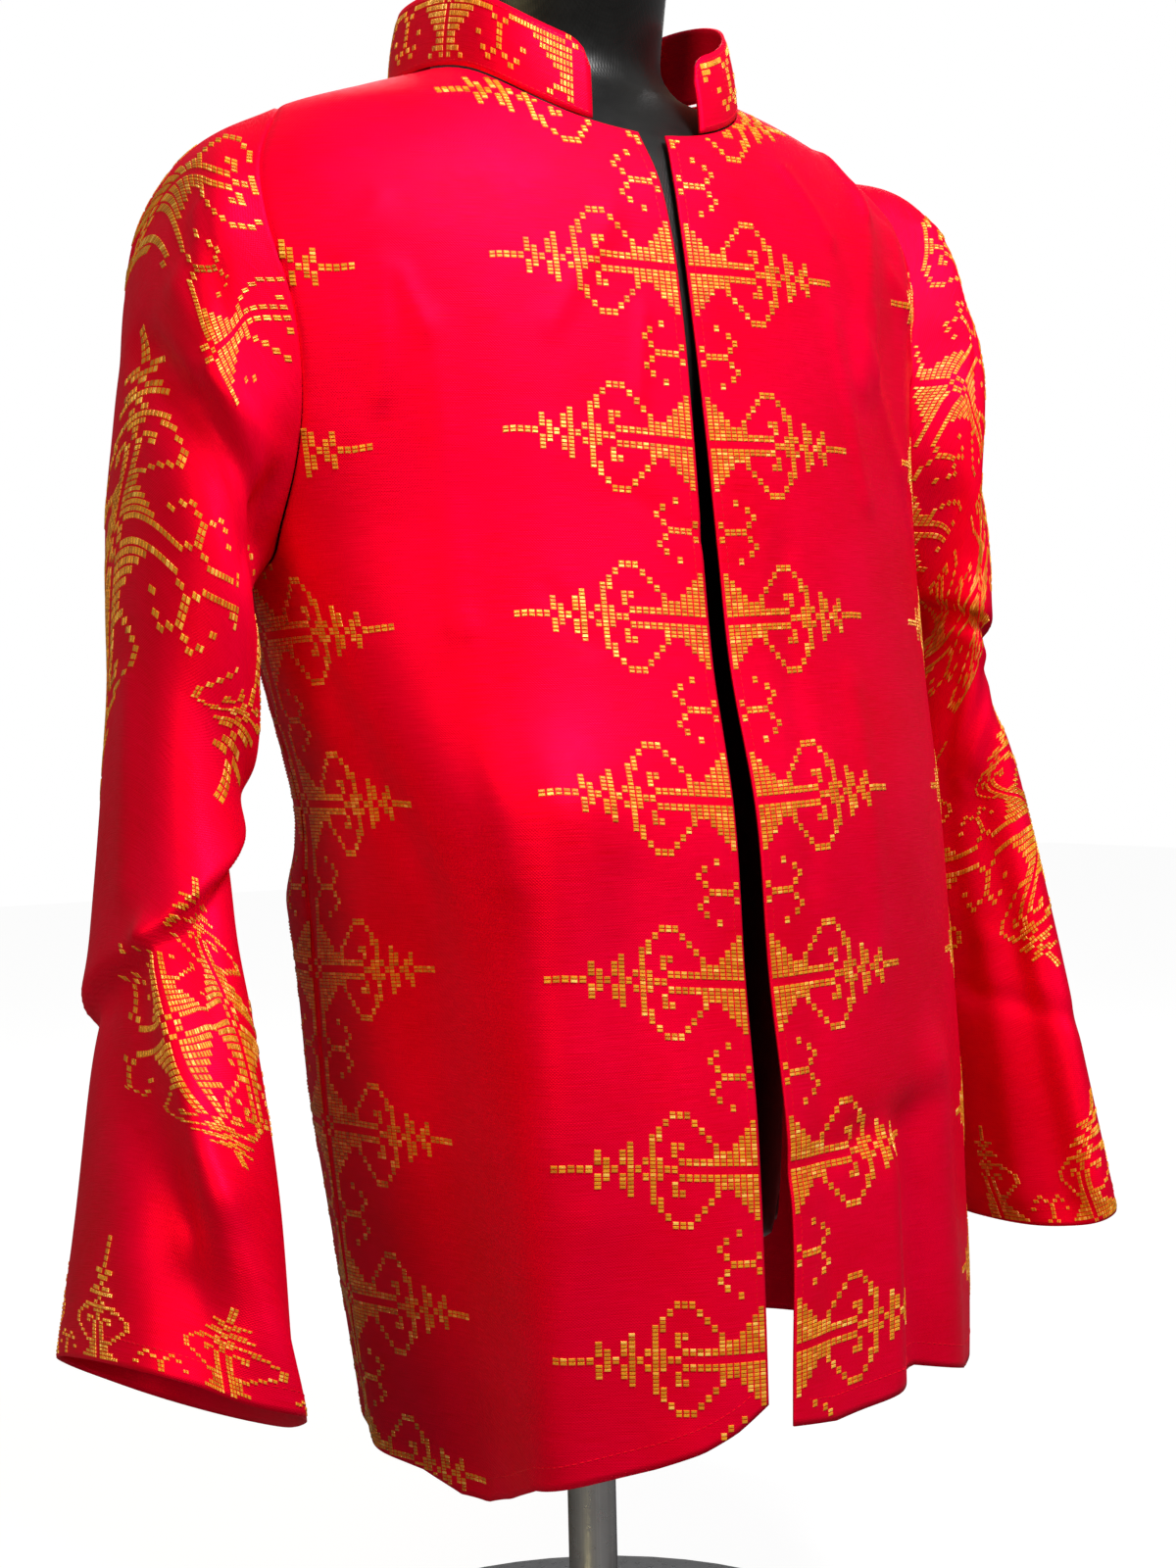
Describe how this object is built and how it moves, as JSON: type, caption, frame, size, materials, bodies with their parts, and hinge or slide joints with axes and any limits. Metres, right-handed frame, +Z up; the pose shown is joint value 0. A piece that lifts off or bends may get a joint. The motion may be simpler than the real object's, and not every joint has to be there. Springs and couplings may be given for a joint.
{
  "type": "barong tagalog shirt on a limbless dress form with a stand",
  "caption": "Open-fronted, long-sleeved, stand-collared jacket of woven brocade, draped on a limbless dress form that stands on a pole and round base.",
  "frame": {"origin": "middle of the whole object's box, on the underside of the base", "axes": "+Z up, the jacket faces -Y, the wearer's right is at -X"},
  "size_m": [0.6, 0.33, 0.95],
  "materials": {
    "brocade": "silky crimson cloth with raised gold-coloured weft motifs",
    "black_jersey": "smooth stretched black jersey with a soft sheen",
    "steel": "brushed"
  },
  "bodies": {
    "root": {"front_right": "brocade", "front_left": "brocade", "back": "brocade", "sleeve_right": "brocade", "sleeve_left": "brocade", "collar": "brocade", "dress_form": "black_jersey", "stand_pole": "steel", "stand_base": "steel"}
  },
  "joints": []
}
